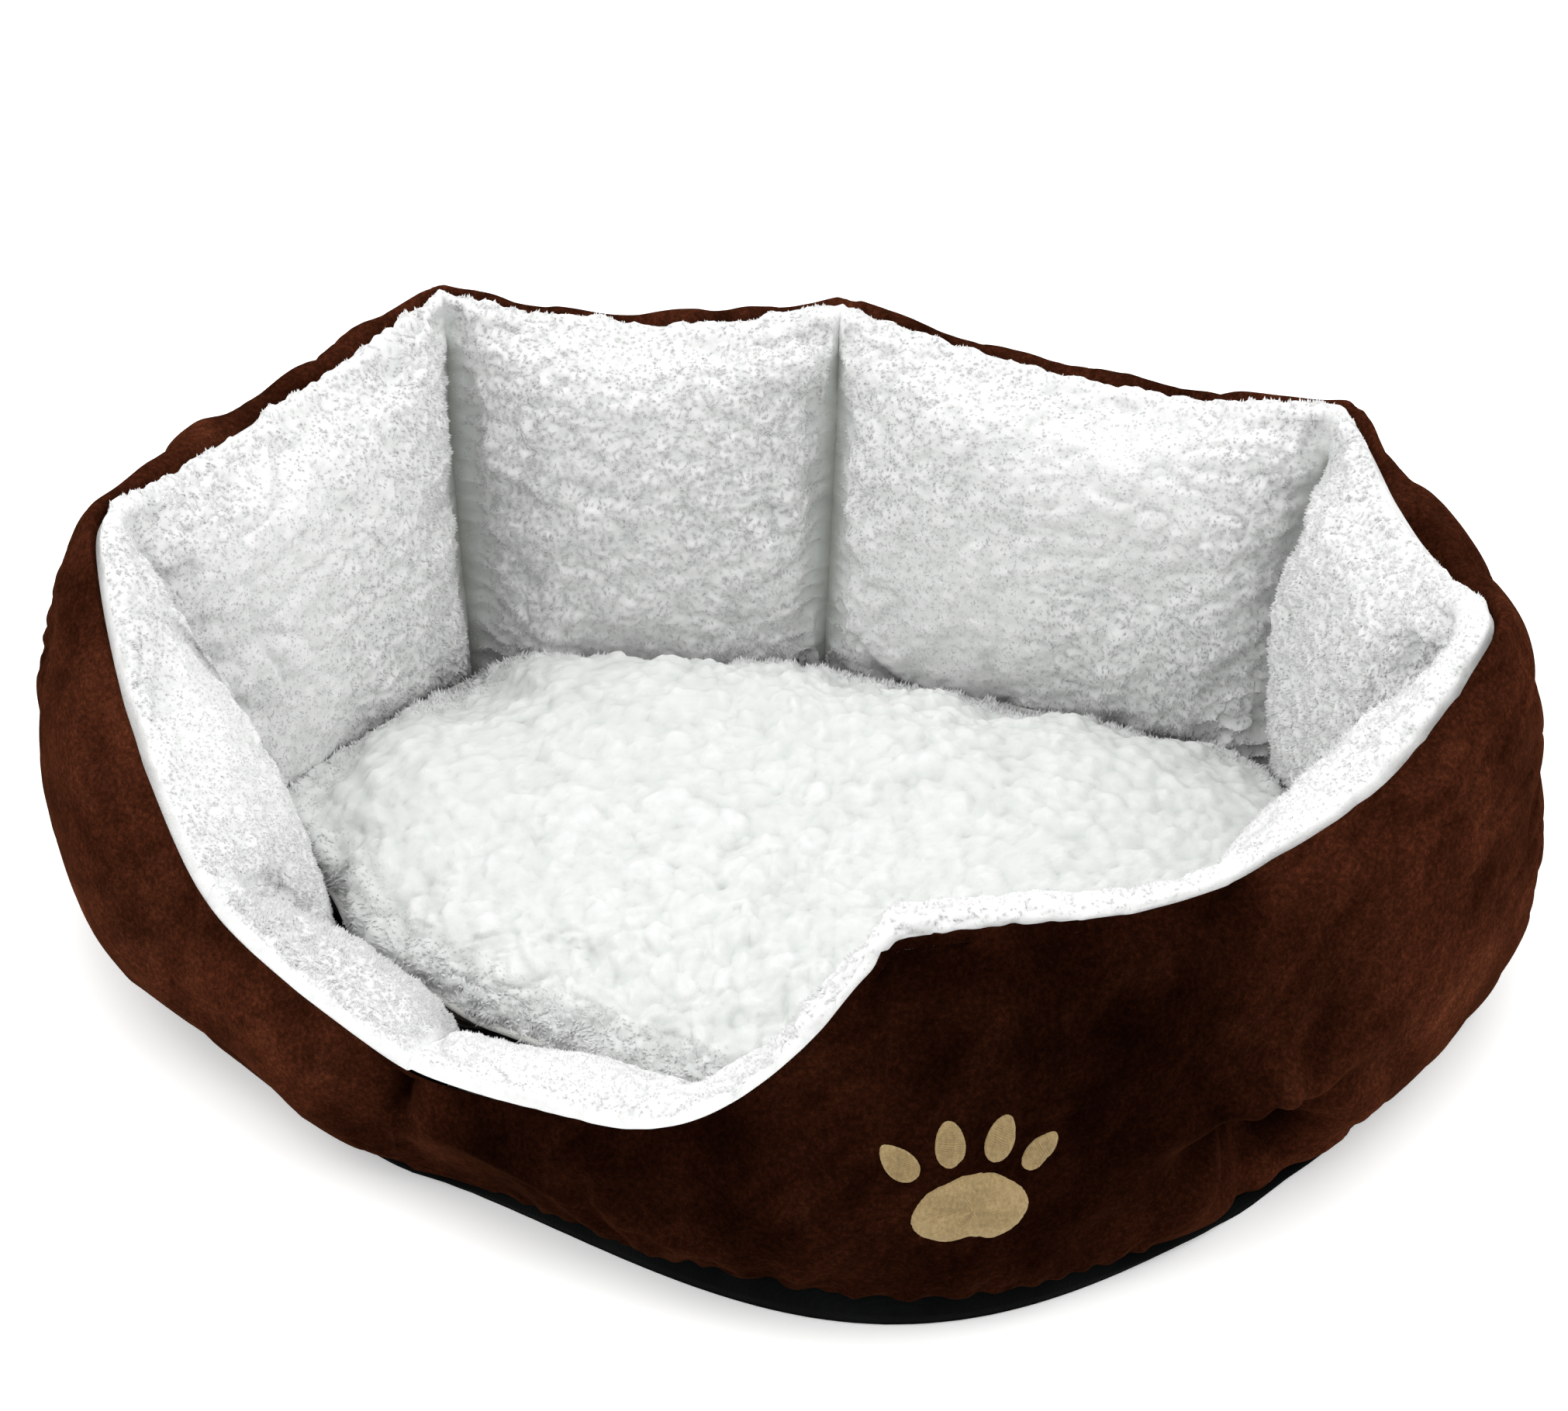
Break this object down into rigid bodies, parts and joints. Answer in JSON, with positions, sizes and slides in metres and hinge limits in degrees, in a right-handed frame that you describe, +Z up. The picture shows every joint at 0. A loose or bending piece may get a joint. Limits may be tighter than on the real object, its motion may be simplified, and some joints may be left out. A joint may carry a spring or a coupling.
{
  "type": "pet cushion bed",
  "caption": "Polygonal plush pet bed with stuffed suede walls, a fleece lining, a low front entrance and a loose mat.",
  "frame": {"origin": "middle of the bed's outline, on the floor under it", "axes": "+X across the bed to the right of someone facing its low entrance, +Y from the entrance to the tall back wall, +Z up"},
  "size_m": [0.5956, 0.4698, 0.1916],
  "materials": {
    "suede": "dark brown brushed micro-suede, velvety nap",
    "fleece": "white sherpa fleece, curly clumped pile",
    "fibre": "loose white polyester fibre",
    "base_cloth": "black non-slip woven base fabric with small grip dots",
    "floor_cloth": "dark brown plain woven cloth",
    "embroidery": "tan satin-stitch embroidery thread",
    "piping": "white cord piping"
  },
  "bodies": {
    "bed": {"outer_panel_right_back": "suede", "outer_panel_back_right": "suede", "outer_panel_back_left": "suede", "outer_panel_left_back": "suede", "outer_panel_left": "suede", "outer_panel_front_left": "suede", "outer_panel_front": "suede", "outer_panel_right_front": "suede", "lining_panel_right_back": "fleece", "lining_panel_back_right": "fleece", "lining_panel_back_left": "fleece", "lining_panel_left_back": "fleece", "lining_panel_left": "fleece", "lining_panel_front_left": "fleece", "lining_panel_front": "fleece", "lining_panel_right_front": "fleece", "wall_fill_right_back": "fibre", "wall_fill_back_right": "fibre", "wall_fill_back_left": "fibre", "wall_fill_left_back": "fibre", "wall_fill_left": "fibre", "wall_fill_front_left": "fibre", "wall_fill_front": "fibre", "wall_fill_right_front": "fibre", "corner_seams": "suede", "base_turn_up": "base_cloth", "base_sheet": "base_cloth", "floor_pad": "fibre", "floor_cloth": "floor_cloth", "paw_pad": "embroidery", "paw_toes": "embroidery"},
    "mat": {"mat_top": "fleece", "mat_bottom": "floor_cloth", "mat_fill": "fibre", "mat_piping": "piping"}
  },
  "joints": [
    {"name": "mat_lift", "type": "slide", "parent": "bed", "child": "mat", "axis": [0, 0, 1], "range_m": [0, 0.22]}
  ]
}
